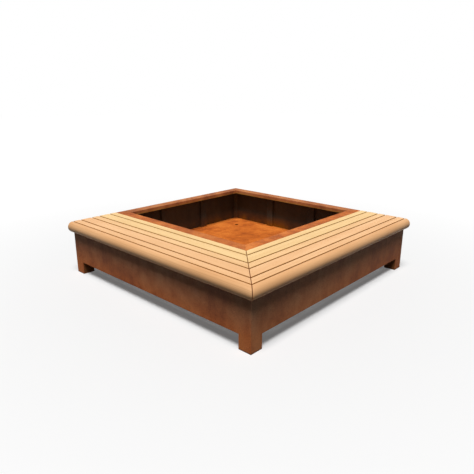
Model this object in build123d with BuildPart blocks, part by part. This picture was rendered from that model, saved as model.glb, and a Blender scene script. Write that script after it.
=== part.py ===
"""Corner bench built round two sides of a square steel planter that stands on four box feet.

Millimetres, +Z up, origin on the ground at the centre of the overall outline. The seat runs along the front
(-Y) and the right (+X), and meets in a mitre at the near corner. The whole is symmetric about the vertical
plane through the near and far corners, so right and back pieces mirror the front and left ones.
"""

import os
from math import sqrt

from build123d import *

# Steel planter, folded from one gauge of sheet
planter_side = 2000.0  # outer faces of the steel square
rim_height = 450.0  # ground to the rim and the seat surface
sheet = 3.0
bend_radius = 3.0  # inside of every fold
rim_width = 90.0
rim_lip = 35.0  # turned down along the inner edge of the rim
seat_flange = 40.0  # panel top folded in under the slats
hem_width = 40.0  # panel bottom folded in, which also carries the floor
hem_relief = 5.0  # slot at the end of a hem
foot_side = 100.0
foot_height = 100.0
foot_plate_thickness = 6.0
foot_drain_radius = 9.0
ribs_per_wall = 2
rib_width = 75.0  # along the wall
rib_depth = 25.0
corner_strip_width = 40.0
drain_radius = 20.0
drain_inset = 230.0  # from the planter's inner faces
channel_count = 3
channel_width = 60.0
channel_depth = 40.0

# Seat timber
narrow_slat = 60.0
wide_slat = 92.0
slat_gap = 12.0
slat_thickness = 40.0
slat_arris = 1.0
nosing_gap = 4.0  # nosing to the first slat
rim_gap = 4.0  # last slat to the planter wall
mitre_gap = 5.0  # between the slats of the two runs
nosing_mitre_gap = 2.0
nosing_radius = 45.0
nosing_flat = 5.0  # between the half-round and the panel
nosing_ease = 0.9  # share of the flat that is rounded off along the back edges

# Bearers under the slats
bearers_per_run = 2  # evenly spaced along the planter wall, besides the one at the inner corner
bearer_height = 60.0
bearer_flange = 40.0
mitre_flange = 80.0
bearer_clearance = 3.0  # round the folded panel tops

# Fixings
screw_radius = 3.0
screw_head_radius = 6.5
screw_head_height = 4.0
screw_fit = 0.2  # hole radius less screw radius
screw_cover = 10.0  # timber left over a screw's tip
nosing_screws_per_bay = 2

# Levels
bend_outer = bend_radius + sheet
seat_level = rim_height - slat_thickness
floor_underside = foot_height + sheet
floor_top = floor_underside + sheet
hem_bend = foot_height + bend_outer
seat_bend = seat_level - bend_outer
rim_bend = rim_height - bend_outer

# Slat layout across a run, each slat as its distance in from the outer steel face and its width
slats = []
slat_start = nosing_gap
for slat_width in (narrow_slat, wide_slat, narrow_slat, wide_slat, narrow_slat):
    slats.append((slat_start, slat_width))
    slat_start += slat_width + slat_gap
bench_depth = slat_start - slat_gap + rim_gap

# Plan
overall_side = planter_side + nosing_flat + nosing_radius
left = -overall_side / 2
back = overall_side / 2
right = left + planter_side
front = back - planter_side
wall_y = front + bench_depth  # bench side of the inner front wall
wall_x = right - bench_depth  # bench side of the inner right wall
box_side = planter_side - bench_depth  # planter box outside the bench
hem_start = foot_side + hem_relief
hem_length = planter_side - 2 * hem_start
ledge_start = hem_width + hem_relief
rib_pitch = box_side / (ribs_per_wall + 1)
bearer_pitch = box_side / (bearers_per_run + 1)

# Mitre planes, and the planes of sections that are carried along a run
main_diagonal = Plane((0, 0, 0), x_dir=(1, -1, 0), z_dir=(1, 1, 0))
outer_left_mitre = Plane((left, front, 0), x_dir=(1, 1, 0), z_dir=(1, -1, 0))
rim_left_mitre = Plane((left, wall_y, 0), x_dir=(1, 1, 0), z_dir=(1, -1, 0))
slat_mitre = main_diagonal.offset(-mitre_gap / 2)
nosing_mitre = main_diagonal.offset(-nosing_mitre_gap / 2)

# Four plan corners, each with its inward directions along X and Y
feet = {
    "near": (right, front, -1, 1),
    "left": (left, front, 1, 1),
    "right": (right, back, -1, -1),
    "far": (left, back, 1, -1),
}
box_corners = {
    "near": (wall_x - sheet, wall_y + sheet, -1, 1),
    "left": (left + sheet, wall_y + sheet, 1, 1),
    "right": (wall_x - sheet, back - sheet, -1, -1),
    "far": (left + sheet, back - sheet, 1, -1),
}


def across_x(x, y):
    """Section plane whose sketch runs inward from the face at y and upward; carried along X from x."""
    return Plane((x, y, 0), x_dir=(0, 1, 0), z_dir=(1, 0, 0))


def across_y(x, y):
    """Section plane whose sketch runs inward from the face at x and upward; carried along Y from y."""
    return Plane((x, y, 0), x_dir=(1, 0, 0), z_dir=(0, -1, 0))


def corner_plane(x, y, x_way, y_way, height=0):
    """Plan plane at a corner whose sketch runs inward along both sides."""
    return Plane((x, y, height), x_dir=(x_way, 0, 0), z_dir=(0, 0, x_way * y_way))


def seat_fold(plane):
    """Panel top folded in under the slats."""
    with BuildSketch(plane) as profile:
        with BuildLine():
            bend = JernArc((0, seat_bend), (0, 1), bend_outer, -90)
            Line(bend @ 1, (seat_flange, seat_level))
            offset(amount=sheet, side=Side.RIGHT)
        make_face()
    return profile.sketch


def hem_fold(plane):
    """Panel bottom folded in as a ledge."""
    with BuildSketch(plane) as profile:
        with BuildLine():
            ledge = Line((hem_width, foot_height), (bend_outer, foot_height))
            JernArc(ledge @ 1, (-1, 0), bend_outer, -90)
            offset(amount=sheet, side=Side.RIGHT)
        make_face()
    return profile.sketch


def rim_fold(plane):
    """Wall top folded in as the flat rim, then down as its lip."""
    with BuildSketch(plane) as profile:
        with BuildLine():
            outer_bend = JernArc((0, rim_bend), (0, 1), bend_outer, -90)
            flat = Line(outer_bend @ 1, (rim_width - bend_outer, rim_height))
            inner_bend = JernArc(flat @ 1, (1, 0), bend_outer, -90)
            Line(inner_bend @ 1, (rim_width, rim_height - rim_lip))
            offset(amount=sheet, side=Side.RIGHT)
        make_face()
    return profile.sketch


def rib_section(middle, inward):
    """Plan of an upright rib that stands against a wall at middle and reaches inward from it."""
    half = rib_width / 2
    with BuildSketch(Plane(middle, x_dir=inward, z_dir=(0, 0, 1))) as profile:
        with BuildLine():
            FilletPolyline(
                (0, -half),
                (rib_depth, -half),
                (rib_depth, half),
                (0, half),
                radius=bend_outer,
            )
            offset(amount=sheet, side=Side.LEFT)
        make_face()
    return profile.sketch


def mitre_outline(inset, width):
    """Plan of a strip along the mitre, from inset inside the outer faces to the planter's corner."""
    step = width / sqrt(2)
    return (
        (right - inset, front + inset),
        (right - inset, front + inset + step),
        (wall_x, wall_y + step),
        (wall_x, wall_y),
        (wall_x - step, wall_y),
        (right - inset - step, front + inset),
    )


def save(piece, name):
    """Labels a finished piece and writes it."""
    piece.part.label = name
    export_step(piece.part, f"parts/{name}.step")


def save_pair(piece, name, twin_name):
    """Writes a piece and its mirror image across the diagonal."""
    save(piece, name)
    with BuildPart() as twin:
        mirror(piece.part, about=main_diagonal)
    save(twin, twin_name)


os.makedirs("parts", exist_ok=True)

# Bearer places along the front run: the back of each upright web
corner_bearer_x = wall_x - mitre_flange / sqrt(2) - bearer_flange - bearer_clearance
bearer_places = [left + bearer_pitch * (i + 1) for i in range(bearers_per_run)] + [corner_bearer_x]

# Screw places of the front run. The first slat is fixed through the panel's folded top; the others through
# the bearers, the left panel's folded top and the mitre bearer.
flange_middle = (sheet + seat_flange) / 2
bearer_screw_x = [place + (sheet + bearer_flange) / 2 for place in bearer_places]
mitre_screw_step = mitre_flange / 4 * sqrt(2)
panel_spots = []
left_spots = []
mitre_spots = []
bearer_spots = {x: [] for x in bearer_screw_x}
slat_spots = []
for number, (start, width) in enumerate(slats):
    inset = flange_middle if number == 0 else start + width / 2
    row_y = front + inset
    mitre_x = right - inset - mitre_screw_step
    end_x = left + flange_middle + (seat_flange if number == 0 else 0)
    spots = [(end_x, row_y), (mitre_x, row_y)]
    spots += [(x, row_y) for x in bearer_screw_x]
    slat_spots.append(spots)
    if number == 0:
        panel_spots += spots
    else:
        left_spots.append(spots[0])
        mitre_spots.append(spots[1])
        for x in bearer_screw_x:
            bearer_spots[x].append((x, row_y))

# Nosing screws, evenly spaced in each bay between the bearers, below the panel's folded top
nosing_bottom = rim_height - 2 * nosing_radius
nosing_screw_z = (nosing_bottom + seat_level - sheet) / 2
bay_ends = [left, *bearer_places, right]
nosing_spots = []
for bay_start, bay_end in zip(bay_ends, bay_ends[1:]):
    for i in range(nosing_screws_per_bay):
        share = (i + 0.5) / nosing_screws_per_bay
        nosing_spots.append(bay_start + share * (bay_end - bay_start))
hole_radius = screw_radius + screw_fit

# Front and right panels: sheet with two foot tabs, folded top under the first slat and hem between the feet
with BuildPart() as front_panel:
    with BuildSketch(Plane((0, front, 0), x_dir=(1, 0, 0), z_dir=(0, -1, 0))):
        Polygon(
            (left, 0),
            (left + foot_side, 0),
            (left + foot_side, hem_bend),
            (right - foot_side, hem_bend),
            (right - foot_side, 0),
            (right, 0),
            (right, seat_bend),
            (left, seat_bend),
            align=None,
        )
        with Locations([(x, nosing_screw_z) for x in nosing_spots]):
            Circle(hole_radius, mode=Mode.SUBTRACT)
    extrude(amount=-sheet)
    extrude(seat_fold(across_x(left, front)), amount=planter_side)
    extrude(hem_fold(across_x(left + hem_start, front)), amount=hem_length)
    with BuildSketch(Plane.XY.offset(seat_level)):
        with Locations(panel_spots):
            Circle(hole_radius)
    extrude(amount=-sheet, mode=Mode.SUBTRACT)
    split(bisect_by=outer_left_mitre, keep=Keep.TOP)
    split(bisect_by=main_diagonal, keep=Keep.BOTTOM)
save_pair(front_panel, "front_panel", "right_panel")

# Left and back panels: low under the seat ends, full height with the rim beside the planter
with BuildPart() as left_rim:
    extrude(rim_fold(across_y(left, wall_y)), amount=-box_side)
    split(bisect_by=rim_left_mitre, keep=Keep.BOTTOM)

with BuildPart() as left_panel:
    with BuildSketch(Plane((left, 0, 0), x_dir=(0, 1, 0), z_dir=(1, 0, 0))):
        Polygon(
            (front, 0),
            (front + foot_side, 0),
            (front + foot_side, hem_bend),
            (back - foot_side, hem_bend),
            (back - foot_side, 0),
            (back, 0),
            (back, rim_bend),
            (wall_y, rim_bend),
            (wall_y, seat_bend),
            (front, seat_bend),
            align=None,
        )
    extrude(amount=sheet)
    extrude(hem_fold(across_y(left, front + hem_start)), amount=-hem_length)
    extrude(seat_fold(across_y(left, front)), amount=-bench_depth)
    add(left_rim.part)
    with BuildSketch(Plane.XY.offset(seat_level)):
        with Locations(left_spots):
            Circle(hole_radius)
    extrude(amount=-sheet, mode=Mode.SUBTRACT)
    split(bisect_by=outer_left_mitre, keep=Keep.BOTTOM)
    split(bisect_by=main_diagonal, keep=Keep.BOTTOM)
save_pair(left_panel, "left_panel", "back_panel")

# Inner walls behind the seat, with the rim beside the slats and a ledge for the floor
with BuildPart() as inner_rim:
    extrude(rim_fold(across_x(left, wall_y)), amount=box_side)
    split(bisect_by=rim_left_mitre, keep=Keep.TOP)

with BuildPart() as inner_front_wall:
    with BuildSketch(across_x(left + sheet, wall_y)):
        with Locations((0, hem_bend)):
            Rectangle(sheet, rim_bend - hem_bend, align=(Align.MIN, Align.MIN))
    extrude(amount=box_side - sheet)
    extrude(hem_fold(across_x(left + ledge_start, wall_y)), amount=box_side - ledge_start)
    add(inner_rim.part)
    split(bisect_by=main_diagonal, keep=Keep.BOTTOM)
save_pair(inner_front_wall, "inner_front_wall", "inner_right_wall")

# Floor plate on the ledges, clear of the folds, with a drain hole near each corner
with BuildPart() as floor_plate:
    with BuildSketch(Plane.XY.offset(floor_underside)):
        with Locations(((left + wall_x) / 2, (wall_y + back) / 2)):
            Rectangle(box_side - 2 * bend_outer, box_side - 2 * bend_outer)
        for x, y, x_way, y_way in box_corners.values():
            with Locations((x + x_way * drain_inset, y + y_way * drain_inset)):
                Circle(drain_radius, mode=Mode.SUBTRACT)
    extrude(amount=sheet)
save(floor_plate, "floor_plate")

# Channels under the floor, open side up, between the front and back ledges
channel_pitch = box_side / (channel_count + 1)
for number in range(1, channel_count + 1):
    channel_left = left + channel_pitch * number - channel_width / 2
    with BuildPart() as floor_channel:
        with BuildSketch(across_y(channel_left, wall_y + hem_width)):
            with BuildLine():
                FilletPolyline(
                    (0, floor_underside),
                    (0, floor_underside - channel_depth),
                    (channel_width, floor_underside - channel_depth),
                    (channel_width, floor_underside),
                    radius=bend_outer,
                )
                offset(amount=sheet, side=Side.LEFT)
            make_face()
        extrude(amount=-(box_side - 2 * hem_width))
    save(floor_channel, f"floor_channel_{number}")

# Upright ribs in the planter: folded channels, open side to the wall, from the floor to the rim's fold
inside_height = rim_bend - floor_top
for number in range(1, ribs_per_wall + 1):
    rib_middle = rib_pitch * number
    with BuildPart() as left_rib:
        extrude(rib_section((left + sheet, wall_y + rib_middle, floor_top), (1, 0, 0)), amount=inside_height)
    save_pair(left_rib, f"left_rib_{number}", f"back_rib_{number}")
    with BuildPart() as inner_rib:
        extrude(rib_section((left + rib_middle, wall_y + sheet, floor_top), (0, 1, 0)), amount=inside_height)
    save_pair(inner_rib, f"inner_front_rib_{number}", f"inner_right_rib_{number}")

# Bevelled strips across the planter's four inner corners
strip_leg = corner_strip_width / sqrt(2)
strip_edge = sheet * sqrt(2)
for place, corner in box_corners.items():
    with BuildPart() as corner_strip:
        with BuildSketch(corner_plane(*corner, height=floor_top)):
            Polygon(
                (strip_leg, 0),
                (0, strip_leg),
                (0, strip_leg - strip_edge),
                (strip_leg - strip_edge, 0),
                align=None,
            )
        extrude(amount=inside_height, dir=(0, 0, 1))
    save(corner_strip, f"corner_strip_{place}")

# Box feet: a folded angle closes the two inner sides behind the foot tabs, round a base plate with a drain hole
plate_side = foot_side - 2 * sheet
for place, corner in feet.items():
    with BuildPart() as foot_box:
        with BuildSketch(corner_plane(*corner)):
            with BuildLine():
                FilletPolyline(
                    (foot_side, sheet),
                    (foot_side, foot_side),
                    (sheet, foot_side),
                    radius=bend_outer,
                )
                offset(amount=sheet, side=Side.LEFT)
            make_face()
        extrude(amount=floor_underside, dir=(0, 0, 1))
    save(foot_box, f"foot_box_{place}")

    with BuildPart() as foot_plate:
        with BuildSketch(corner_plane(*corner)):
            with Locations((foot_side / 2, foot_side / 2)):
                Rectangle(plate_side, plate_side)
                Circle(foot_drain_radius, mode=Mode.SUBTRACT)
        extrude(amount=foot_plate_thickness, dir=(0, 0, 1))
        fillet(foot_plate.edges().filter_by(Axis.Z).sort_by_distance((0, 0, 0))[0], bend_radius)
    save(foot_plate, f"foot_plate_{place}")

# Bearers: folded angles from the panel to the planter wall, notched under the panel's folded top
notch_depth = seat_flange + bearer_clearance
notch_level = seat_level - sheet - bearer_clearance
for number, (place, screw_x) in enumerate(zip(bearer_places, bearer_screw_x), start=1):
    with BuildPart() as bearer:
        with BuildSketch(across_y(place, front + sheet)):
            with BuildLine():
                FilletPolyline(
                    (0, seat_level - bearer_height),
                    (0, seat_level),
                    (bearer_flange, seat_level),
                    radius=bend_outer,
                )
                offset(amount=sheet, side=Side.RIGHT)
            make_face()
        extrude(amount=-(bench_depth - sheet))
        with BuildSketch(across_y(place, front)):
            with Locations((0, notch_level)):
                Rectangle(bearer_flange, seat_level - notch_level, align=(Align.MIN, Align.MIN))
        extrude(amount=-notch_depth, mode=Mode.SUBTRACT)
        with BuildSketch(Plane.XY.offset(seat_level)):
            with Locations(bearer_spots[screw_x]):
                Circle(hole_radius)
        extrude(amount=-sheet, mode=Mode.SUBTRACT)
    save_pair(bearer, f"front_bearer_{number}", f"right_bearer_{number}")

# Mitre bearer: a tee along the diagonal, cut to fit the panels' corner and the planter's corner
with BuildPart() as mitre_bearer:
    with BuildSketch(Plane.XY.offset(seat_level - bearer_height)):
        Polygon(*mitre_outline(sheet, sheet), align=None)
    extrude(amount=notch_level - (seat_level - bearer_height))
    with BuildSketch(Plane.XY.offset(notch_level)):
        Polygon(*mitre_outline(notch_depth, sheet), align=None)
    extrude(amount=seat_level - notch_level)
    with BuildSketch(Plane.XY.offset(seat_level - sheet)):
        Polygon(*mitre_outline(notch_depth, mitre_flange), align=None)
        with Locations(mitre_spots + [(-y, -x) for x, y in mitre_spots]):
            Circle(hole_radius, mode=Mode.SUBTRACT)
    extrude(amount=sheet)
save(mitre_bearer, "mitre_bearer")

# Slats, square at the outer end, mitred at the near corner, with a blind hole over each screw
screw_depth = slat_thickness - screw_cover
for number, ((start, width), spots) in enumerate(zip(slats, slat_spots), start=1):
    with BuildPart() as slat:
        with BuildSketch(across_x(left, front)):
            with Locations((start + width / 2, seat_level + slat_thickness / 2)):
                RectangleRounded(width, slat_thickness, slat_arris)
        extrude(amount=planter_side)
        split(bisect_by=slat_mitre, keep=Keep.BOTTOM)
        with BuildSketch(Plane.XY.offset(seat_level)):
            with Locations(spots):
                Circle(hole_radius)
        extrude(amount=screw_depth, mode=Mode.SUBTRACT)
    save_pair(slat, f"front_slat_{number}", f"right_slat_{number}")

# Nosings: half-round timbers on the panels' outer faces
nosing_arris = nosing_ease * nosing_flat
nosing_screw_depth = nosing_flat + nosing_radius / 2
with BuildPart() as nosing:
    with BuildSketch(across_x(left, front)) as nosing_profile:
        with BuildLine():
            Polyline(
                (-nosing_flat, nosing_bottom),
                (0, nosing_bottom),
                (0, rim_height),
                (-nosing_flat, rim_height),
            )
            CenterArc((-nosing_flat, rim_height - nosing_radius), nosing_radius, 90, 180)
        make_face()
        fillet(nosing_profile.vertices().group_by(Axis.X)[-1], nosing_arris)
    extrude(amount=planter_side + nosing_flat + nosing_radius)
    split(bisect_by=nosing_mitre, keep=Keep.BOTTOM)
    with BuildSketch(Plane((0, front, 0), x_dir=(1, 0, 0), z_dir=(0, -1, 0))):
        with Locations([(x, nosing_screw_z) for x in nosing_spots]):
            Circle(hole_radius)
    extrude(amount=nosing_screw_depth, mode=Mode.SUBTRACT)
save_pair(nosing, "front_nosing", "right_nosing")

# Hexagon-headed screws, heads under the flanges and behind the panels
screw_spots = [spot for spots in slat_spots for spot in spots]
with BuildPart() as front_slat_screws:
    with BuildSketch(Plane.XY.offset(seat_level - sheet)):
        with Locations(screw_spots):
            RegularPolygon(screw_head_radius, 6)
    extrude(amount=-screw_head_height)
    with BuildSketch(Plane.XY.offset(seat_level - sheet)):
        with Locations(screw_spots):
            Circle(screw_radius)
    extrude(amount=sheet + screw_depth)

with BuildPart() as slat_screws:
    add(front_slat_screws.part)
    mirror(front_slat_screws.part, about=main_diagonal)
save(slat_screws, "slat_screws")

with BuildPart() as front_nosing_screws:
    with BuildSketch(Plane((0, front + sheet, 0), x_dir=(1, 0, 0), z_dir=(0, -1, 0))):
        with Locations([(x, nosing_screw_z) for x in nosing_spots]):
            RegularPolygon(screw_head_radius, 6)
    extrude(amount=-screw_head_height)
    with BuildSketch(Plane((0, front + sheet, 0), x_dir=(1, 0, 0), z_dir=(0, -1, 0))):
        with Locations([(x, nosing_screw_z) for x in nosing_spots]):
            Circle(screw_radius)
    extrude(amount=sheet + nosing_screw_depth)

with BuildPart() as nosing_screws:
    add(front_nosing_screws.part)
    mirror(front_nosing_screws.part, about=main_diagonal)
save(nosing_screws, "nosing_screws")
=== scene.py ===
"""Finishes a corner bench round a steel planter: seat timber, weld beads, rusted steel and a plain studio.

Metres, +Z up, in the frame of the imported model. The seat runs along the front (-Y) and the right (+X) and
meets in a mitre on the plane x + y = 0, so each right-hand board is a front board with (x, y) put to
(-y, -x).
"""

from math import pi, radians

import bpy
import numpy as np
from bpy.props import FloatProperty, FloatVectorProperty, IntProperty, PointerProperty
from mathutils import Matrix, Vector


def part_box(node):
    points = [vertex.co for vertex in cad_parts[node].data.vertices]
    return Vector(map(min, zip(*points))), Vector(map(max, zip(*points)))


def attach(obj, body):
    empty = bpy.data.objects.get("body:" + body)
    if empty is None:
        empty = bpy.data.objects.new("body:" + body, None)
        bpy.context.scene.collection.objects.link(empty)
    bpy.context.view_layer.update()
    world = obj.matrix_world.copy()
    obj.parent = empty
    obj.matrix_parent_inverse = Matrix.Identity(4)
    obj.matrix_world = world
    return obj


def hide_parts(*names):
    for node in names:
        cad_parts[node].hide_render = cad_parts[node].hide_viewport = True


bl_info = {
    "name": "Corner Bench Finish",
    "version": (1, 0, 0),
    "blender": (4, 5, 0),
    "location": "View3D > Sidebar > Corner Bench",
    "description": "Seat timber, weld beads and rusted steel of a corner bench with a planter",
    "category": "Object",
}

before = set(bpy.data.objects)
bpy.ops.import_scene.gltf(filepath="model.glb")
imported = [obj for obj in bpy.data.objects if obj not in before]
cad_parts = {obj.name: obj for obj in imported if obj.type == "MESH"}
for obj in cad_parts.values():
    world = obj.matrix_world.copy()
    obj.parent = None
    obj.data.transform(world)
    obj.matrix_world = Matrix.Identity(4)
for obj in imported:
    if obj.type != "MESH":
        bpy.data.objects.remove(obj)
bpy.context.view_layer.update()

BODY = "root"
RUNS = ("front", "right")
RIBS_PER_WALL = 2

# Share of the inner boards' colour in each slat of a run, from the nosing to the planter
SLAT_TONES = (0.0, 0.0, 0.3, 0.85, 1.0)

# Shares of a rust's colour where it is dense and dark, and where it is loose and bright
DARK_RUST = (0.66, 0.6, 0.62)
BRIGHT_RUST = (1.24, 1.45, 1.6)

# Range of places, from its tree's heart, at which a board's grain starts
GRAIN_LOW = (0, -0.12, -0.16)
GRAIN_HIGH = (40, 0.12, -0.05)

# Places read from the frame
panel_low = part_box("front_panel")[0]
nosing_low, nosing_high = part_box("front_nosing")
slat_low, slat_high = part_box("front_slat_1")
wall_low, wall_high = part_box("inner_front_wall")
floor_low, floor_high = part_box("floor_plate")
left = panel_low.x
back = -left
planter_front = wall_low.y
planter_right = -planter_front
planter_middle = ((left + planter_right) / 2, (planter_front + back) / 2)
planter_half = (planter_right - left) / 2
sheet = floor_high.z - floor_low.z
mitre_inset = -slat_low.y - slat_high.x


# Settings


class BenchTimber(bpy.types.PropertyGroup):
    """Edges and colours of the seat boards."""

    slat_arris: FloatProperty(
        name="Slat arris",
        description="Radius along the long edges of a slat",
        default=0.001,
        unit="LENGTH",
    )
    nosing_arris: FloatProperty(
        name="Nosing arris",
        description="Radius along the lower back edge of a nosing",
        default=0.0045,
        unit="LENGTH",
    )
    nosing_lean: FloatProperty(
        name="Nosing lean",
        description="Distance by which the back of a nosing leans away from the first slat at the top",
        default=0.007,
        unit="LENGTH",
    )
    end_ease: FloatProperty(
        name="End ease",
        description="Radius sanded round the ends of a board",
        default=0.0006,
        unit="LENGTH",
    )
    nosing_colour: FloatVectorProperty(
        name="Nosings",
        description="Timber of the nosings",
        default=(0.84, 0.463, 0.214),
        subtype="COLOR",
    )
    outer_colour: FloatVectorProperty(
        name="Outer boards",
        description="Timber of the slats beside the nosings",
        default=(0.93, 0.54, 0.262),
        subtype="COLOR",
    )
    inner_colour: FloatVectorProperty(
        name="Inner boards",
        description="Timber of the slats beside the planter",
        default=(0.97, 0.665, 0.305),
        subtype="COLOR",
    )
    # Painted shade on the board sides along the gaps.
    side_shade: FloatVectorProperty(
        name="Sawn sides",
        description="Share of its colour that a board keeps on the sides along the gaps",
        default=(0.72, 0.55, 0.25),
        subtype="COLOR",
    )
    ring_pitch: FloatProperty(
        name="Growth rings",
        description="Spacing of the growth rings",
        default=0.0045,
        unit="LENGTH",
    )


class BenchSteel(bpy.types.PropertyGroup):
    """Colours of the rusted sheet, the places of its stains and of its painted shade, shadow and highlight.
    """

    front_rust: FloatVectorProperty(
        name="Front rust",
        description="Rust over most of the front panel and the feet below it",
        default=(0.54, 0.143, 0.038),
        subtype="COLOR",
    )
    right_rust: FloatVectorProperty(
        name="Right rust",
        description="Rust over most of the right panel, the feet below it, the bearers and the channels",
        default=(0.495, 0.156, 0.053),
        subtype="COLOR",
    )
    # Painted shade: a darker, greyer rust that stands in for the shade under the nosings, and its share at
    # the top.
    painted_nosing_shade: FloatVectorProperty(
        name="Sheltered rust",
        description="Dusty rust at the top of those panels, under the nosings",
        default=(0.29, 0.16, 0.092),
        subtype="COLOR",
    )
    nosing_shade_share: FloatProperty(
        name="Shelter",
        description="Share of that dusty rust where a panel meets the nosing",
        default=0.9,
    )
    planter_rust: FloatVectorProperty(
        name="Planter rust",
        description="Rust over most of the planter's two free panels and their rims",
        default=(0.465, 0.158, 0.052),
        subtype="COLOR",
    )
    front_rim_rust: FloatVectorProperty(
        name="Front rim rust",
        description="Rust over most of the rim beside the front run",
        default=(0.527, 0.141, 0.029),
        subtype="COLOR",
    )
    right_rim_rust: FloatVectorProperty(
        name="Right rim rust",
        description="Rust over most of the rim beside the right run",
        default=(0.655, 0.18, 0.036),
        subtype="COLOR",
    )
    floor_rust: FloatVectorProperty(
        name="Floor rust",
        description="Rust over most of the planter's floor",
        default=(0.63, 0.152, 0.02),
        subtype="COLOR",
    )
    # Painted shade: near-black colours that stand in for the shade on the planter's walls, ribs, weld beads
    # and, a little lighter, its corner strips below the rim.
    inside_painted_shade: FloatVectorProperty(
        name="Inside scale",
        description="Dark mill scale left on the planter's walls below the rim",
        default=(0.039, 0.039, 0.03),
        subtype="COLOR",
    )
    strip_scale: FloatVectorProperty(
        name="Strip scale",
        description="Paler mill scale on the strips in the planter's corners",
        default=(0.056, 0.063, 0.05),
        subtype="COLOR",
    )
    # Painted shade: a darker rust that stands in for the shade on the feet's inner sides under the bench.
    foot_scale: FloatVectorProperty(
        name="Foot scale",
        description="Mill scale and rust on the inner sides of the feet",
        default=(0.26, 0.092, 0.026),
        subtype="COLOR",
    )
    # Painted contact shadow: a dark band along the feet's lower edges that stands in for the shadow at the
    # ground, with its share and heights.
    foot_contact_shadow: FloatVectorProperty(
        name="Foot stain",
        description="Dark stain along the lower edges of the feet",
        default=(0.075, 0.034, 0.016),
        subtype="COLOR",
    )
    contact_shadow_share: FloatProperty(
        name="Foot stain share",
        description="Share of that stain at the ground",
        default=0.9,
    )
    contact_shadow_low: FloatProperty(
        name="Foot stain low",
        description="Height above the ground up to which the stain is full",
        default=0.003,
        unit="LENGTH",
    )
    contact_shadow_high: FloatProperty(
        name="Foot stain high",
        description="Height above the ground at which the stain ends",
        default=0.01,
        unit="LENGTH",
    )
    bloom: FloatVectorProperty(
        name="Bloom",
        description="Dark rust that rises from the floor on the planter's walls and ribs",
        default=(0.205, 0.069, 0.0),
        subtype="COLOR",
    )
    left_bloom: FloatVectorProperty(
        name="Left bloom",
        description="The same rust on the left wall, which is darker at its foot",
        default=(0.105, 0.038, 0.0),
        subtype="COLOR",
    )
    bloom_share: FloatProperty(
        name="Bloom share",
        description="Share of that rust where the walls meet the floor",
        default=0.85,
    )
    bloom_height: FloatProperty(
        name="Bloom height",
        description="Height above the floor at which that rust ends",
        default=0.11,
        unit="LENGTH",
    )
    # Painted highlight: a pale rust band that stands in for light along the lower edge of the rim's lip,
    # with its heights.
    lip_highlight: FloatVectorProperty(
        name="Lip dust",
        description="Pale rust along the lower edge of the rim's lip",
        default=(0.46, 0.21, 0.045),
        subtype="COLOR",
    )
    highlight_low: FloatProperty(
        name="Lip dust low",
        description="Height above the lip's lower edge up to which the pale rust is full",
        default=0.006,
        unit="LENGTH",
    )
    highlight_high: FloatProperty(
        name="Lip dust high",
        description="Height above the lip's lower edge at which the pale rust ends",
        default=0.02,
        unit="LENGTH",
    )
    # The painted shade inside the planter starts below this lip.
    lip_height: FloatProperty(
        name="Lip",
        description="Height of the rim's lip, below which the mill scale starts",
        default=0.0355,
        unit="LENGTH",
    )


class BenchWelds(bpy.types.PropertyGroup):
    """Size and spacing of the weld beads in the planter."""

    leg: FloatProperty(name="Leg", description="Height of a fillet weld", default=0.0042, unit="LENGTH")
    length: FloatProperty(name="Stitch", description="Length of one bead", default=0.045, unit="LENGTH")
    pitch: FloatProperty(name="Pitch", description="Spacing of the beads", default=0.16, unit="LENGTH")
    ripples: IntProperty(name="Ripples", description="Ripples along one bead", default=9)
    above_floor: FloatProperty(
        name="Above floor",
        description="Height above the floor at which the seams along the ribs start",
        default=0.03,
        unit="LENGTH",
    )
    below_rim: FloatProperty(
        name="Below rim",
        description="Depth below the rim at which the seams along the ribs end",
        default=0.05,
        unit="LENGTH",
    )


class BenchStage(bpy.types.PropertyGroup):
    """Camera, light and floor."""

    eye: FloatVectorProperty(
        name="Eye",
        description="Place of the camera",
        default=(2.5502, -2.7832, 1.4604),
        subtype="TRANSLATION",
    )
    tilt: FloatProperty(
        name="Tilt",
        description="Turn of the view down from level",
        default=radians(17.005),
        subtype="ANGLE",
    )
    turn: FloatProperty(
        name="Turn",
        description="Turn of the view from straight ahead towards the left",
        default=radians(43.02),
        subtype="ANGLE",
    )
    lens: FloatProperty(name="Lens", description="Focal length in millimetres", default=35.12)
    key_way: FloatVectorProperty(
        name="Key direction",
        description="Direction from the bench to the key light",
        default=(0.218, -0.272, 0.937),
        subtype="DIRECTION",
    )
    key_strength: FloatProperty(name="Key", description="Strength of the key light", default=3.3)
    key_softness: FloatProperty(
        name="Softness",
        description="Angle across the key light",
        default=radians(24),
        subtype="ANGLE",
    )
    fill: FloatProperty(name="Fill", description="Light from all round", default=0.012)
    floor_size: FloatProperty(name="Floor", description="Side of the floor", default=60.0, unit="LENGTH")
    near_white: FloatProperty(name="Near white", description="Shade of the near ground", default=0.765)
    far_white: FloatProperty(name="Far white", description="Shade of the far ground", default=0.88)
    near_reach: FloatProperty(
        name="Near reach",
        description="Distance from the middle up to which the ground has its near shade",
        default=1.2,
        unit="LENGTH",
    )
    far_reach: FloatProperty(
        name="Far reach",
        description="Distance from the middle at which the ground has its far shade",
        default=3.6,
        unit="LENGTH",
    )
    bounce: FloatProperty(name="Bounce", description="Shade of the ground for bounced light", default=0.035)
    glow: FloatProperty(name="Glow", description="Light that lifts the ground's shadow", default=0.14)


# Meshes


def make_object(name, vertices, faces, material, smooth=True):
    """Puts an array of points and a list of faces into a new mesh object at the origin."""
    mesh = bpy.data.meshes.new(name)
    mesh.from_pydata(vertices.reshape(-1, 3).tolist(), [], faces)
    mesh.materials.append(material)
    if smooth:
        mesh.shade_smooth()
    mesh.validate()
    made = bpy.data.objects.new(name, mesh)
    bpy.context.scene.collection.objects.link(made)
    return made


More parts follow.
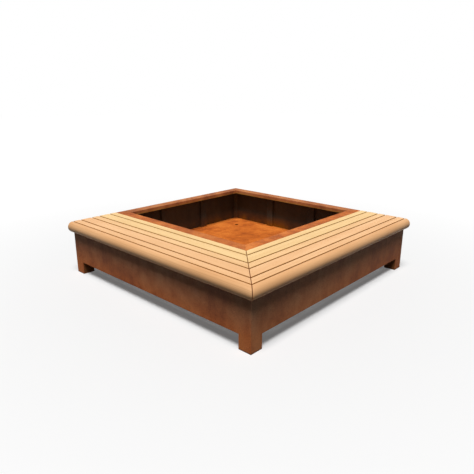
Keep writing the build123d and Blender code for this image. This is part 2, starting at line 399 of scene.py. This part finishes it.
def tube_faces(stations, around, first=0):
    """Quads between neighbouring rings of a tube, with one many-sided face over each end."""
    ring = np.arange(around)
    row = np.arange(stations - 1)[:, None] * around
    following = np.roll(ring, -1)
    corners = (row + ring, row + following, row + around + following, row + around + ring)
    quads = np.stack(corners, axis=-1).reshape(-1, 4) + first
    start_cap = ring[::-1] + first
    end_cap = ring + (stations - 1) * around + first
    return quads.tolist() + [start_cap.tolist(), end_cap.tolist()]


def arc_section(arcs, steps, beside):
    """Ring of arcs, each (across, up, radius, first angle, last angle), joined by straight flats.

    Every point is an arc's centre plus its radius times a direction. A short way along each flat, beside
    the arc's ends, one more point keeps the flat's shading flat. Taking the same amount off every radius
    gives the section drawn in by that amount all round.
    """
    centres, radii, ways = [], [], []
    for across, up, radius, first, last in arcs:
        angles = np.linspace(first, last, steps)
        angles = np.concatenate(([first], angles, [last]))
        along = np.stack((-np.sin(angles), np.cos(angles)), axis=-1)
        shift = np.zeros(len(angles))
        shift[[0, -1]] = -beside, beside
        centres.append(np.array((across, up)) + along * shift[:, None])
        radii.append(np.full(len(angles), radius))
        ways.append(np.stack((np.cos(angles), np.sin(angles)), axis=-1))
    return np.concatenate(centres), np.concatenate(radii), np.concatenate(ways)


def board_points(section, ease):
    """Carries a section along a front board, from its square end at the left to its mitred end.

    Along the board the points go from x = left to x = -y - mitre_inset. At each end the section is drawn
    in by ease * (1 - sin a) at a distance of ease * (1 - cos a), which rounds the end off, and once more
    inside the flat end.
    """
    centres, radii, ways = section
    end_steps, stations = 5, 30
    turn = np.linspace(0, pi / 2, end_steps)
    end_inset = np.concatenate(([1.5 * ease], ease * (1 - np.sin(turn))))
    end_place = np.concatenate(([0], ease * (1 - np.cos(turn))))
    share = np.linspace(0, 1, stations)[1:-1]
    inset = np.concatenate((end_inset, np.zeros(len(share)), end_inset[::-1]))
    share = np.concatenate((np.zeros(len(end_inset)), share, np.ones(len(end_inset))))[:, None]
    from_left = np.concatenate((end_place, np.full(len(inset) - len(end_place), ease)))[:, None]
    ring = centres + (radii - inset[:, None])[..., None] * ways
    y, z = ring[..., 0], ring[..., 1]
    x = (1 - share) * (left + from_left) + share * (-y - mitre_inset - from_left[::-1])
    return np.stack((x, y, z), axis=-1)


def keep_vectors(made, name, vectors):
    """Keeps one vector for each point of an object, for its material to read."""
    kept = made.data.attributes.new(name, "FLOAT_VECTOR", "POINT")
    kept.data.foreach_set("vector", vectors.astype(np.float32).ravel())


def board_tints(stations, sides, colour, side_shade):
    """Colour of each point of a board: its own on top and over the ends, with painted shade along its
    sides.
    """
    share = np.tile(sides, (stations, 1))
    share[[0, -1]] = 0
    return np.array(colour) * (1 - share[..., None] * (1 - np.array(side_shade)))


def make_board(name, run, node, section, sides, colour, settings, seed):
    """Builds one board in place of its node, mirrored for the right run, with its own grain."""
    points = board_points(section, settings.end_ease)
    faces = tube_faces(*points.shape[:2])
    middle = points.reshape(-1, 3).mean(axis=0)
    grain = points - (left, middle[1], middle[2])
    grain = grain + np.random.default_rng(seed).uniform(GRAIN_LOW, GRAIN_HIGH)
    if run == "right":
        points = np.stack((-points[..., 1], -points[..., 0], points[..., 2]), axis=-1)
        faces = [face[::-1] for face in faces]
    board = make_object(f"{run}_{name}", points, faces, timber_material(settings))
    keep_vectors(board, "grain", grain)
    keep_vectors(board, "tint", board_tints(len(points), sides, colour, settings.side_shade))
    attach(board, BODY)
    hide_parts(f"{run}_{node}")


def bead_points(starts, ends, first_ways, second_ways, leg, ripples):
    """Fillet welds along straight seams, one for each row of the arrays.

    Across a seam the bead is a quarter turn, leg * (cos a * one face's direction + sin a * the other's),
    closed through a point just inside the corner. Along it the leg swells by a tenth at each ripple and
    falls away at both ends as the eighth power of the distance from the middle.
    """
    per_ripple, steps, inside = 4, 5, -0.1
    share = np.linspace(0, 1, ripples * per_ripple + 1)
    swell = 1 + 0.1 * np.cos(2 * pi * ripples * share)
    fall = 1 - 0.85 * np.abs(2 * share - 1) ** 8
    size = (leg * swell * fall)[None, :, None, None]
    angle = np.linspace(0, pi / 2, steps)
    first = np.append(np.cos(angle), inside)[None, None, :, None]
    second = np.append(np.sin(angle), inside)[None, None, :, None]
    across = first * first_ways[:, None, None, :] + second * second_ways[:, None, None, :]
    seam = starts[:, None, :] + share[None, :, None] * (ends - starts)[:, None, :]
    return seam[:, :, None, :] + size * across


# Materials


def add(tree, kind, inputs=None, **settings):
    """Adds a node, with its settings and with sockets linked or values put into its inputs."""
    made = tree.nodes.new(kind)
    for name, value in settings.items():
        setattr(made, name, value)
    for name, value in (inputs or {}).items():
        if isinstance(value, bpy.types.NodeSocket):
            tree.links.new(value, made.inputs[name])
        else:
            made.inputs[name].default_value = value
    return made


def noise(tree, place, stretch, detail=4.0, roughness=0.55):
    """Noise with so many waves in a metre along each axis."""
    scaled = add(tree, "ShaderNodeMapping", {"Vector": place, "Scale": stretch})
    made = add(
        tree,
        "ShaderNodeTexNoise",
        {"Vector": scaled.outputs["Vector"], "Scale": 1.0, "Detail": detail, "Roughness": roughness},
    )
    return made.outputs["Fac"]


def arithmetic(tree, operation, first, second=0.0, third=0.0):
    """One arithmetic step."""
    return add(tree, "ShaderNodeMath", {0: first, 1: second, 2: third}, operation=operation).outputs[0]


def weighted(tree, *terms):
    """Sum of (socket, weight) terms."""
    total = 0.0
    for socket, weight in terms:
        total = arithmetic(tree, "MULTIPLY_ADD", socket, weight, total)
    return total


def span(tree, value, low, high, to_low=0.0, to_high=1.0):
    """Value from low to high spread over another range, and held at its ends."""
    made = add(
        tree,
        "ShaderNodeMapRange",
        {"Value": value, "From Min": low, "From Max": high, "To Min": to_low, "To Max": to_high},
    )
    return made.outputs["Result"]


def mix(tree, share, first, second, blend="MIX"):
    """Two colours mixed by a share, through the colour sockets of the mix node: 6 and 7 in, 2 out."""
    inputs = {0: share, 6: first, 7: second}
    return add(tree, "ShaderNodeMix", inputs, data_type="RGBA", blend_type=blend).outputs[2]


def ramp(tree, share, stops):
    """Colour that runs through the given (place, colour) stops."""
    made = add(tree, "ShaderNodeValToRGB", {"Fac": share})
    elements = made.color_ramp.elements
    while len(elements) < len(stops):
        elements.new(0.5)
    for element, (place, colour) in zip(elements, stops):
        element.position = place
        element.color = opaque(colour)
    return made.outputs["Color"]


def opaque(colour):
    """Colour with full alpha."""
    return (*colour, 1.0)


def grey(value):
    """Grey of one value."""
    return (value, value, value, 1.0)


def begin_material(name):
    """New material with a bare surface shader, its node tree and that shader."""
    material = bpy.data.materials.new(name)
    material.use_nodes = True
    tree = material.node_tree
    return material, tree, tree.nodes["Principled BSDF"]


def bump(tree, shader, height, depth):
    """Relief of the given depth in metres."""
    made = add(tree, "ShaderNodeBump", {"Height": height, "Distance": depth, "Strength": 1.0})
    tree.links.new(made.outputs["Normal"], shader.inputs["Normal"])


def timber_material(settings):
    """Planed pale hardwood: growth rings round a heart above each board, fibres, pores, drifts of tone."""
    name = "planed_timber"
    if name in bpy.data.materials:
        return bpy.data.materials[name]
    material, tree, shader = begin_material(name)
    grain = add(tree, "ShaderNodeAttribute", attribute_name="grain").outputs["Vector"]
    tint = add(tree, "ShaderNodeAttribute", attribute_name="tint").outputs["Color"]

    # The wave texture takes twenty times the distance as its angle
    wave_factor = 20
    flow = add(tree, "ShaderNodeMapping", {"Vector": grain, "Scale": (0.02, 1.0, 1.0)}).outputs["Vector"]
    rings = add(
        tree,
        "ShaderNodeTexWave",
        {
            "Vector": flow,
            "Scale": 2 * pi / wave_factor / settings.ring_pitch,
            "Distortion": 9.0,
            "Detail": 3.0,
            "Detail Scale": 0.25,
        },
        wave_type="RINGS",
        rings_direction="X",
    ).outputs["Fac"]
    fibres = noise(tree, grain, (7, 520, 520), 5.0, 0.65)
    pores = noise(tree, grain, (28, 1100, 1100), 2.0)
    drift = noise(tree, grain, (1.1, 16, 16), 3.0)
    slow = noise(tree, grain, (2.2, 9, 9), 2.0)

    shade = weighted(tree, (rings, 0.22), (fibres, 0.5), (drift, 0.45))
    lines = ramp(tree, shade, [(0.32, (0.84, 0.79, 0.74)), (0.58, (1, 1, 1)), (0.8, (1.05, 1.06, 1.08))])
    tones = ramp(tree, slow, [(0.3, (0.96, 0.93, 0.9)), (0.7, (1.04, 1.07, 1.1))])
    lines = mix(tree, 1.0, lines, tones, "MULTIPLY")
    colour = mix(tree, 1.0, tint, lines, "MULTIPLY")
    pore_share = span(tree, pores, 0.66, 0.74, 0.0, 0.35)
    colour = mix(tree, pore_share, colour, (0.5, 0.27, 0.12, 1.0))
    tree.links.new(colour, shader.inputs["Base Color"])
    tree.links.new(span(tree, shade, 0.35, 0.8, 0.62, 0.5), shader.inputs["Roughness"])
    shader.inputs["Specular IOR Level"].default_value = 0.25
    bump(tree, shader, weighted(tree, (fibres, 0.7), (rings, 0.2), (pore_share, -1.2)), 0.00025)
    return material


def rust_pattern(tree, place):
    """Mottling of rust from 0, dark, to 1, bright, and its fine grain: clouds, blotches, runs, speckles."""
    clouds = noise(tree, place, (2.6, 2.6, 2.6), 6.0, 0.55)
    blotches = noise(tree, place, (15, 15, 15), 5.0, 0.6)
    runs = noise(tree, place, (7, 7, 0.9), 3.0, 0.5)
    speckles = noise(tree, place, (230, 230, 230), 4.0, 0.7)
    sum_of_all = weighted(tree, (clouds, 0.42), (blotches, 0.28), (runs, 0.3), (speckles, 0.18))
    return span(tree, sum_of_all, 0.49, 0.69), speckles


def rust_colour(tree, pattern, rust):
    """Rust mottled from dense and dark to loose and bright."""
    dark = [value * share for value, share in zip(rust, DARK_RUST)]
    bright = [value * share for value, share in zip(rust, BRIGHT_RUST)]
    return ramp(tree, pattern, [(0.08, dark), (0.5, rust), (0.95, bright)])


def painted_shade_colour(tree, pattern, scale):
    """Dark colour for painted shade, mottled by the same pattern."""
    mottling = ramp(tree, pattern, [(0, (0.6,) * 3), (1, (1.5,) * 3)])
    return mix(tree, 1.0, opaque(scale), mottling, "MULTIPLY")


def scabs(tree, place):
    """Small raised scabs of rust, from 0 to 1."""
    scaled = add(tree, "ShaderNodeMapping", {"Vector": place, "Scale": (110, 110, 110)})
    cells = add(tree, "ShaderNodeTexVoronoi", {"Vector": scaled.outputs["Vector"], "Scale": 1.0})
    return span(tree, cells.outputs["Distance"], 0.12, 0.45, 1.0, 0.0)


def rust_surface(tree, shader, place, colour, speckles, gloss=0.3):
    """Dull, finely rough surface shared by the rusted sheets."""
    raised = scabs(tree, place)
    stops = [(0.3, (0.72, 0.7, 0.68)), (0.52, (1, 1, 1)), (0.75, (1.2, 1.22, 1.24))]
    speckle = ramp(tree, speckles, stops)
    colour = mix(tree, 1.0, colour, speckle, "MULTIPLY")
    colour = mix(tree, arithmetic(tree, "MULTIPLY", raised, 0.22), colour, (0.2, 0.055, 0.02, 1.0))
    tree.links.new(colour, shader.inputs["Base Color"])
    tree.links.new(span(tree, speckles, 0.3, 0.7, 0.9, 0.68), shader.inputs["Roughness"])
    shader.inputs["Specular IOR Level"].default_value = gloss
    bump(tree, shader, weighted(tree, (speckles, 1.0), (raised, 0.35)), 0.0005)


def panel_material(name, rust, settings):
    """Rusted panel, with painted shade that grows towards the nosing above it, and a painted contact shadow
    along the lower edges of the feet.
    """
    material, tree, shader = begin_material(name)
    place = add(tree, "ShaderNodeTexCoord").outputs["Object"]
    pattern, speckles = rust_pattern(tree, place)
    height = add(tree, "ShaderNodeSeparateXYZ", {"Vector": place}).outputs["Z"]
    # Painted shade, growing from the floor plate's height to the nosing.
    nosing_shade = span(tree, height, floor_low.z, nosing_low.z, 0.0, settings.nosing_shade_share)
    rusted = rust_colour(tree, pattern, rust)
    nosing_shaded_rust = rust_colour(tree, pattern, settings.painted_nosing_shade)
    # Painted contact shadow along the lower edges of the feet.
    shadowed = painted_shade_colour(tree, pattern, settings.foot_contact_shadow)
    contact_shadow = span(tree, height, settings.contact_shadow_low, settings.contact_shadow_high, settings.contact_shadow_share, 0.0)
    colour = mix(tree, nosing_shade, rusted, nosing_shaded_rust)
    colour = mix(tree, contact_shadow, colour, shadowed)
    rust_surface(tree, shader, place, colour, speckles)
    return material


def floor_material(name, settings):
    """Rusted floor of the planter."""
    material, tree, shader = begin_material(name)
    place = add(tree, "ShaderNodeTexCoord").outputs["Object"]
    pattern, speckles = rust_pattern(tree, place)
    colour = rust_colour(tree, pattern, settings.floor_rust)
    rust_surface(tree, shader, place, colour, speckles, gloss=0.15)
    return material


def inside_colour(tree, place, pattern, scale, bloom, settings):
    """Painted shade in the planter, a near-black colour below the rim, with a bloom of dark rust that rises
    from the floor.
    """
    height = add(tree, "ShaderNodeSeparateXYZ", {"Vector": place}).outputs["Z"]
    bloom_end = floor_high.z + settings.bloom_height
    rise = span(tree, height, floor_high.z, bloom_end, settings.bloom_share, 0.0)
    share = arithmetic(tree, "MULTIPLY", rise, span(tree, pattern, 0.0, 1.0, 0.6, 1.4))
    dark = painted_shade_colour(tree, pattern, scale)
    return mix(tree, share, dark, rust_colour(tree, pattern, bloom))


def wall_material(name, rust, bloom, settings):
    """Planter wall: rusted outside and on the rim, with a painted highlight along the lip's lower edge and
    near-black painted shade inside below the lip.
    """
    material, tree, shader = begin_material(name)
    place = add(tree, "ShaderNodeTexCoord").outputs["Object"]
    pattern, speckles = rust_pattern(tree, place)
    offset = add(
        tree,
        "ShaderNodeVectorMath",
        {0: place, 1: (*planter_middle, 0.0)},
        operation="SUBTRACT",
    ).outputs["Vector"]
    reach = add(tree, "ShaderNodeVectorMath", {0: offset}, operation="ABSOLUTE").outputs["Vector"]
    axes = add(tree, "ShaderNodeSeparateXYZ", {"Vector": reach}).outputs
    from_middle = arithmetic(tree, "MAXIMUM", axes["X"], axes["Y"])
    within = arithmetic(tree, "LESS_THAN", from_middle, planter_half - sheet / 2)
    lip_end = wall_high.z - settings.lip_height
    below = arithmetic(tree, "LESS_THAN", axes["Z"], lip_end)
    inside = arithmetic(tree, "MULTIPLY", within, below)
    # Painted highlight along the lip's lower edge.
    highlight_share = span(tree, axes["Z"], lip_end + settings.highlight_low, lip_end + settings.highlight_high, 1.0, 0.0)
    highlighted = arithmetic(tree, "MULTIPLY", within, highlight_share)
    highlight = rust_colour(tree, pattern, settings.lip_highlight)
    rusted = mix(tree, highlighted, rust_colour(tree, pattern, rust), highlight)
    # Painted shade inside the planter, below the lip.
    dark = inside_colour(tree, place, pattern, settings.inside_painted_shade, bloom, settings)
    rust_surface(tree, shader, place, mix(tree, inside, rusted, dark), speckles)
    return material


def inside_material(name, scale, settings):
    """Painted shade, a near-black colour, on the ribs, corner strips and weld beads in the planter."""
    material, tree, shader = begin_material(name)
    place = add(tree, "ShaderNodeTexCoord").outputs["Object"]
    pattern, speckles = rust_pattern(tree, place)
    colour = inside_colour(tree, place, pattern, scale, settings.bloom, settings)
    rust_surface(tree, shader, place, colour, speckles)
    return material


def foot_material(name, settings):
    """Darker rust as painted shade on the feet's inner sides and base plates."""
    material, tree, shader = begin_material(name)
    place = add(tree, "ShaderNodeTexCoord").outputs["Object"]
    pattern, speckles = rust_pattern(tree, place)
    rust_surface(tree, shader, place, painted_shade_colour(tree, pattern, settings.foot_scale), speckles)
    return material


def screw_material():
    """Turned stainless steel."""
    material, tree, shader = begin_material("screw_steel")
    place = add(tree, "ShaderNodeTexCoord").outputs["Object"]
    marks = noise(tree, place, (900, 900, 4000), 3.0)
    colour = ramp(tree, marks, [(0.3, (0.42, 0.42, 0.41)), (0.7, (0.62, 0.62, 0.6))])
    tree.links.new(colour, shader.inputs["Base Color"])
    tree.links.new(span(tree, marks, 0.3, 0.7, 0.28, 0.5), shader.inputs["Roughness"])
    shader.inputs["Metallic"].default_value = 1.0
    bump(tree, shader, marks, 0.00005)
    return material


def seen_share(tree):
    """1 for what is looked at, straight or in a reflection, and 0 for light that only bounces."""
    path = add(tree, "ShaderNodeLightPath").outputs
    seen = arithmetic(tree, "MAXIMUM", path["Is Camera Ray"], path["Is Glossy Ray"])
    return arithmetic(tree, "MAXIMUM", seen, path["Is Transmission Ray"])


def ground_material(settings):
    """White ground, brighter away from the bench, that keeps a grey shadow and throws back little light."""
    material = bpy.data.materials.new("studio_ground")
    material.use_nodes = True
    tree = material.node_tree
    tree.nodes.clear()
    seen = seen_share(tree)
    place = add(tree, "ShaderNodeTexCoord").outputs["Object"]
    distance = add(tree, "ShaderNodeVectorMath", {0: place}, operation="LENGTH").outputs["Value"]
    reaches = settings.near_reach, settings.far_reach
    white = span(tree, distance, *reaches, settings.near_white, settings.far_white)
    shade = span(tree, seen, 0.0, 1.0, settings.bounce, white)
    colour = add(tree, "ShaderNodeCombineColor", {0: shade, 1: shade, 2: shade}).outputs["Color"]
    lit = add(tree, "ShaderNodeBsdfDiffuse", {"Color": colour})
    glow = add(tree, "ShaderNodeEmission", {"Color": grey(settings.glow), "Strength": seen})
    both = add(tree, "ShaderNodeAddShader", {0: lit.outputs["BSDF"], 1: glow.outputs["Emission"]})
    add(tree, "ShaderNodeOutputMaterial", {"Surface": both.outputs["Shader"]})
    return material


# Operators


class BENCH_OT_slats(bpy.types.Operator):
    """Build the seat slats with eased ends and their own grain"""

    bl_idname = "bench.slats"
    bl_label = "Seat slats"

    def execute(self, context):
        settings = context.scene.bench_timber
        for number, share in enumerate(SLAT_TONES, 1):
            section = self.section(number, settings.slat_arris)
            sides = np.abs(section[2][:, 0])
            colour = settings.outer_colour * (1 - share) + settings.inner_colour * share
            for run_number, run in enumerate(RUNS):
                name, node = f"slat_board_{number}", f"slat_{number}"
                seed = 10 * run_number + number
                make_board(name, run, node, section, sides, colour, settings, seed)
        return {"FINISHED"}

    def section(self, number, arris):
        """Rectangle with rounded arrises."""
        low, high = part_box(f"front_slat_{number}")
        inner_y, outer_y = high.y - arris, low.y + arris
        top, bottom = high.z - arris, low.z + arris
        arcs = (
            (inner_y, top, arris, 0, pi / 2),
            (outer_y, top, arris, pi / 2, pi),
            (outer_y, bottom, arris, pi, pi * 3 / 2),
            (inner_y, bottom, arris, pi * 3 / 2, pi * 2),
        )
        return arc_section(arcs, 6, beside=0.001)


class BENCH_OT_nosings(bpy.types.Operator):
    """Build the half-round nosings along the two outer edges of the seat"""

    bl_idname = "bench.nosings"
    bl_label = "Half-round nosings"

    def execute(self, context):
        settings = context.scene.bench_timber
        section = self.section(settings)
        sides = np.clip(section[2][:, 0], 0, 1)
        colour = settings.nosing_colour
        for run_number, run in enumerate(RUNS):
            seed = 50 + run_number
            make_board("nosing_round", run, "nosing", section, sides, colour, settings, seed)
        return {"FINISHED"}

    def section(self, settings):
        """Half round, flat behind up to the slats and leaning away from them above, with eased edges."""
        arris, edge = settings.nosing_arris, settings.slat_arris
        low, high, lean_z = nosing_low, nosing_high, slat_low.z
        radius = (high.z - low.z) / 2
        turn_y, turn_z = low.y + radius, low.z + radius
        flat = high.y - arris - turn_y
        lean = np.arctan2(settings.nosing_lean, high.z - lean_z)
        top = np.arccos((high.y - settings.nosing_lean - edge - flat - turn_y) / radius)
        top_y = turn_y + (radius - edge) * np.cos(top) + flat * np.sin(top)
        top_z = turn_z + (radius - edge) * np.sin(top) - flat * np.cos(top)
        back_arcs = (
            (high.y - arris, low.z + arris, arris, pi * 3 / 2, pi * 2),
            (high.y - edge, lean_z, edge, 0, lean),
            (top_y, top_z, edge, lean, top),
        )
        half_round = arc_section([(turn_y, turn_z, radius, top, pi * 3 / 2)], 41, flat / 3)
        return [np.concatenate(pair) for pair in zip(half_round, arc_section(back_arcs, 6, flat / 3))]


class BENCH_OT_welds(bpy.types.Operator):
    """Lay stitch welds along the ribs and round the planter's floor"""

    bl_idname = "bench.welds"
    bl_label = "Weld beads"

    def execute(self, context):
        settings = context.scene.bench_welds
        steel = context.scene.bench_steel
        # Painted shade on the weld beads, as on the walls.
        material = inside_material("weld_bead", steel.inside_painted_shade, steel)
        self.lay("rib_weld_beads", self.rib_seams(settings), settings, material)
        self.lay("floor_weld_beads", self.floor_seams(settings), settings, material)
        return {"FINISHED"}

    def stitches(self, first, last, settings):
        """Start places of beads spread evenly from first to last."""
        count = max(1, round((last - first) / settings.pitch))
        return first + (np.arange(count) + 0.5) * (last - first) / count - settings.length / 2

    def rib_seams(self, settings):
        """Upright beads on both sides of each rib, where it meets its wall."""
        walls = {
            "left": ((1, 0, 0), (0, 1, 0)),
            "back": ((0, -1, 0), (1, 0, 0)),
            "inner_front": ((0, 1, 0), (1, 0, 0)),
            "inner_right": ((-1, 0, 0), (0, 1, 0)),
        }
        first, last = floor_high.z + settings.above_floor, wall_high.z - settings.below_rim
        rows = []
        for wall, (out, along) in walls.items():
            for number in range(1, RIBS_PER_WALL + 1):
                low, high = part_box(f"{wall}_rib_{number}")
                foot = [low[i] if out[i] > 0 else high[i] for i in range(3)]
                for side, edge in ((-1, low), (1, high)):
                    seam = [edge[i] if along[i] else foot[i] for i in range(3)]
                    way = [side * value for value in along]
                    for z in self.stitches(first, last, settings):
                        rows.append(((*seam[:2], z), (*seam[:2], z + settings.length), out, way))
        return rows

    def floor_seams(self, settings):
        """Level beads where the floor meets the four walls, in the bays between corners and ribs."""
        reach = planter_half - sheet
        bay_ends = [-reach]
        for number in range(1, RIBS_PER_WALL + 1):
            low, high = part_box(f"inner_front_rib_{number}")
            bay_ends += [low.x - planter_middle[0], high.x - planter_middle[0]]
        bay_ends.append(reach)
        rows = []
        for out in ((1, 0, 0), (-1, 0, 0), (0, 1, 0), (0, -1, 0)):
            along = (abs(out[1]), abs(out[0]))
            wall = [planter_middle[i] - out[i] * reach for i in range(2)]
            for first, last in zip(bay_ends[::2], bay_ends[1::2]):
                for start in self.stitches(first, last, settings):
                    ends = []
                    for place in (start, start + settings.length):
                        ends.append([wall[i] + along[i] * place for i in range(2)])
                    rows.append(((*ends[0], floor_high.z), (*ends[1], floor_high.z), out, (0, 0, 1)))
        return rows

    def lay(self, name, rows, settings, material):
        """Makes one object of all the beads in the rows, each with its faces turned outwards."""
        starts, ends, first_ways, second_ways = (np.array(column, float) for column in zip(*rows))
        run_way = ends - starts
        turned = np.einsum("ij,ij->i", np.cross(first_ways, second_ways), run_way) < 0
        first_ways, second_ways = (
            np.where(turned[:, None], second_ways, first_ways),
            np.where(turned[:, None], first_ways, second_ways),
        )
        points = bead_points(starts, ends, first_ways, second_ways, settings.leg, settings.ripples)
        beads, stations, around = points.shape[:3]
        faces = []
        for bead in range(beads):
            faces += tube_faces(stations, around, bead * stations * around)
        made = make_object(name, points, faces, material)
        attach(made, BODY)


class BENCH_OT_steel(bpy.types.Operator):
    """Finish the steel sheets, the planter and the screws"""

    bl_idname = "bench.steel"
    bl_label = "Rusted steel"

    def execute(self, context):
        settings = context.scene.bench_steel
        panel = panel_material("right_rust", settings.right_rust, settings)
        # Painted shade on the ribs and corner strips.
        rib = inside_material("rib_scale", settings.inside_painted_shade, settings)
        strip = inside_material("strip_scale", settings.strip_scale, settings)
        # Painted shade on the feet's inner sides.
        foot = foot_material("foot_scale", settings)
        screw_steel = screw_material()
        bloom, left_bloom = settings.bloom, settings.left_bloom
        finishes = {
            "front_panel": panel_material("front_rust", settings.front_rust, settings),
            "left_panel": wall_material("left_wall", settings.planter_rust, left_bloom, settings),
            "back_panel": wall_material("back_wall", settings.planter_rust, bloom, settings),
            "inner_front_wall": wall_material("front_wall", settings.front_rim_rust, bloom, settings),
            "inner_right_wall": wall_material("right_wall", settings.right_rim_rust, bloom, settings),
            "floor_plate": floor_material("floor_rust", settings),
        }
        for name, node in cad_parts.items():
            if "_rib_" in name:
                finish = rib
            elif name.startswith("corner_strip"):
                finish = strip
            elif name.startswith("foot_"):
                finish = foot
            elif name.endswith("_screws"):
                finish = screw_steel
            else:
                finish = finishes.get(name, panel)
            for slot in node.material_slots:
                slot.material = finish
        return {"FINISHED"}


class BENCH_OT_stage(bpy.types.Operator):
    """Set the ground, the light and the camera"""

    bl_idname = "bench.stage"
    bl_label = "Studio"

    def execute(self, context):
        settings = context.scene.bench_stage
        self.ground(settings)
        self.light(context, settings)
        self.camera(context, settings)
        context.scene.view_settings.view_transform = "Standard"
        return {"FINISHED"}

    def ground(self, settings):
        """Level square under the feet."""
        half = settings.floor_size / 2
        corners = np.array([(-half, -half, 0), (half, -half, 0), (half, half, 0), (-half, half, 0)])
        material = ground_material(settings)
        ground = make_object("studio_ground", corners, [[0, 1, 2, 3]], material, smooth=False)

    def light(self, context, settings):
        """One soft key light from above the camera's side, and a faint fill from all round."""
        lamp = bpy.data.lights.new("key_light", "SUN")
        lamp.energy = settings.key_strength
        lamp.angle = settings.key_softness
        key = bpy.data.objects.new("key_light", lamp)
        key.rotation_euler = settings.key_way.to_track_quat("Z", "Y").to_euler()
        context.scene.collection.objects.link(key)

        world = bpy.data.worlds.new("studio_world")
        context.scene.world = world
        world.use_nodes = True
        tree = world.node_tree
        tree.nodes.clear()
        strength = span(tree, seen_share(tree), 0.0, 1.0, settings.fill, 1.0)
        sky = add(tree, "ShaderNodeBackground", {"Color": grey(1.0), "Strength": strength})
        add(tree, "ShaderNodeOutputWorld", {"Surface": sky.outputs["Background"]})

    def camera(self, context, settings):
        """Camera at the viewing angle."""
        lens = bpy.data.cameras.new("camera")
        lens.lens = settings.lens
        camera = bpy.data.objects.new("camera", lens)
        camera.location = settings.eye
        camera.rotation_euler = (pi / 2 - settings.tilt, 0, settings.turn)
        context.scene.collection.objects.link(camera)
        context.scene.camera = camera


OPERATORS = (BENCH_OT_slats, BENCH_OT_nosings, BENCH_OT_welds, BENCH_OT_steel, BENCH_OT_stage)
SETTINGS = {
    "bench_timber": BenchTimber,
    "bench_steel": BenchSteel,
    "bench_welds": BenchWelds,
    "bench_stage": BenchStage,
}


class VIEW3D_PT_corner_bench(bpy.types.Panel):
    """Settings and steps of the corner bench"""

    bl_label = "Corner Bench"
    bl_space_type = "VIEW_3D"
    bl_region_type = "UI"
    bl_category = "Corner Bench"

    def draw(self, context):
        for group, kind in SETTINGS.items():
            box = self.layout.box()
            for name in kind.__annotations__:
                box.prop(getattr(context.scene, group), name)
        for operator in OPERATORS:
            self.layout.operator(operator.bl_idname)


CLASSES = (*SETTINGS.values(), *OPERATORS, VIEW3D_PT_corner_bench)


def register():
    for cls in CLASSES:
        bpy.utils.register_class(cls)
    for group, kind in SETTINGS.items():
        setattr(bpy.types.Scene, group, PointerProperty(type=kind))


def unregister():
    for group in SETTINGS:
        delattr(bpy.types.Scene, group)
    for cls in reversed(CLASSES):
        bpy.utils.unregister_class(cls)


def main():
    """Registers the add-on and runs its steps in order."""
    register()
    bpy.ops.bench.slats()
    bpy.ops.bench.nosings()
    bpy.ops.bench.welds()
    bpy.ops.bench.steel()
    bpy.ops.bench.stage()


if __name__ == "__main__":
    main()
